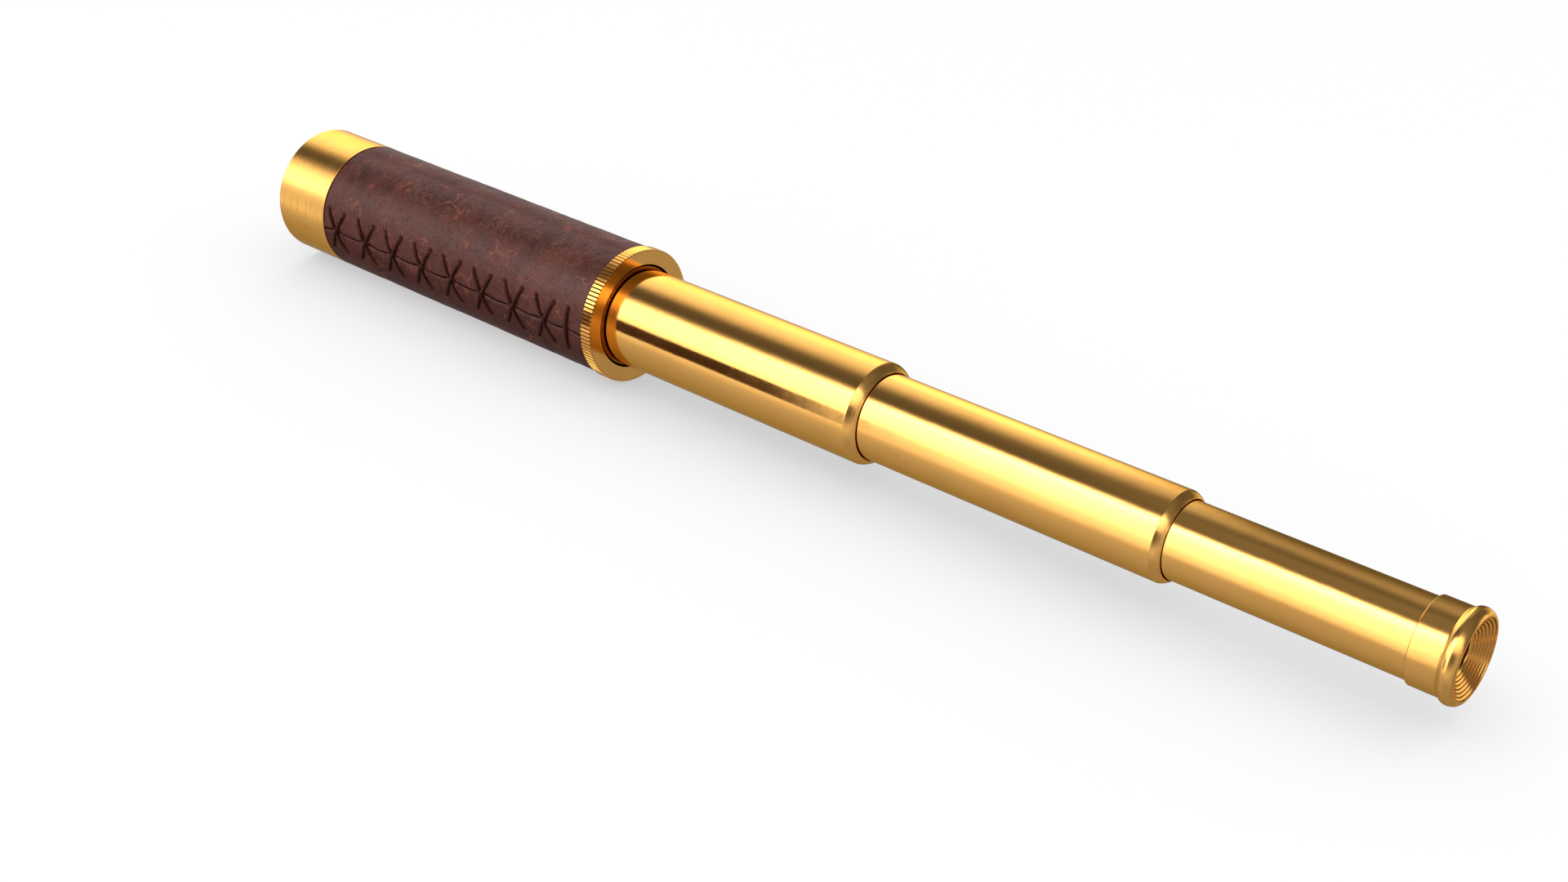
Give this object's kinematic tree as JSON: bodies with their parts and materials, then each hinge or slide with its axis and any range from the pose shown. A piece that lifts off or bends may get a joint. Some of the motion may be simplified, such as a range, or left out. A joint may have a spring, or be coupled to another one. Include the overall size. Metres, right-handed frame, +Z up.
{
  "type": "telescope",
  "caption": "Hand-held draw telescope: nested brass tubes slide out of a leather-laced barrel with a knurled collar, a stepped objective mouth and a dished eye cup.",
  "frame": {"origin": "bottom centre of the bounding box of the drawn-out telescope lying on its side", "axes": "+X along the optical axis from the objective to the eyepiece, +Z up, the leather seam faces -Y"},
  "size_m": [0.426, 0.0428, 0.0428],
  "materials": {
    "brass_polished": "polished yellow brass with fine turning marks, hairline scratches and a light tan patina",
    "brass_plain": "plain turned brass, unpolished where it is hidden",
    "brass_blackened": "chemically blackened brass, dull",
    "leather_brown": "dark red-brown waxed leather, satin, creased and scuffed to orange-red on the high spots",
    "waxed_thread": "dark brown waxed twisted cord",
    "lens_glass": "polished optical glass"
  },
  "bodies": {
    "barrel": {"barrel_tube": "brass_plain", "leather_wrap": "leather_brown", "lacing_thread": "waxed_thread", "objective_cell": "brass_polished", "front_ring": "brass_polished", "front_retaining_ring": "brass_plain", "lens_mount": "brass_polished", "objective_crown_lens": "lens_glass", "objective_spacer": "brass_blackened", "objective_flint_lens": "lens_glass", "objective_rear_ring": "brass_blackened", "rear_collar": "brass_polished", "barrel_guide_bush": "brass_plain"},
    "draw_1": {"draw_tube_1": "brass_polished", "draw_1_stop_ring": "brass_plain", "draw_1_ferrule": "brass_polished", "draw_1_guide_sleeve": "brass_plain"},
    "draw_2": {"draw_tube_2": "brass_polished", "draw_2_stop_ring": "brass_plain", "draw_2_ferrule": "brass_polished", "draw_2_guide_sleeve": "brass_plain"},
    "draw_3": {"draw_tube_3": "brass_polished", "draw_3_stop_ring": "brass_plain", "erector_tube": "brass_blackened", "erector_front_retainer": "brass_blackened", "erector_front_lens": "lens_glass", "erector_stop": "brass_blackened", "erector_rear_lens": "lens_glass", "erector_rear_retainer": "brass_blackened", "eyepiece_housing": "brass_polished", "eyepiece_lens_tube": "brass_blackened", "field_lens_retainer": "brass_blackened", "field_lens": "lens_glass", "field_stop": "brass_blackened", "eye_lens_cell": "brass_blackened", "eye_lens": "lens_glass", "eye_lens_retainer": "brass_blackened", "eye_cup": "brass_polished"}
  },
  "joints": [
    {"name": "draw_1_slide", "type": "slide", "parent": "barrel", "child": "draw_1", "axis": [1, 0, 0], "range_m": [-0.0886, 0]},
    {"name": "draw_2_slide", "type": "slide", "parent": "draw_1", "child": "draw_2", "axis": [1, 0, 0], "range_m": [-0.091, 0]},
    {"name": "draw_3_slide", "type": "slide", "parent": "draw_2", "child": "draw_3", "axis": [1, 0, 0], "range_m": [-0.0655, 0]}
  ]
}
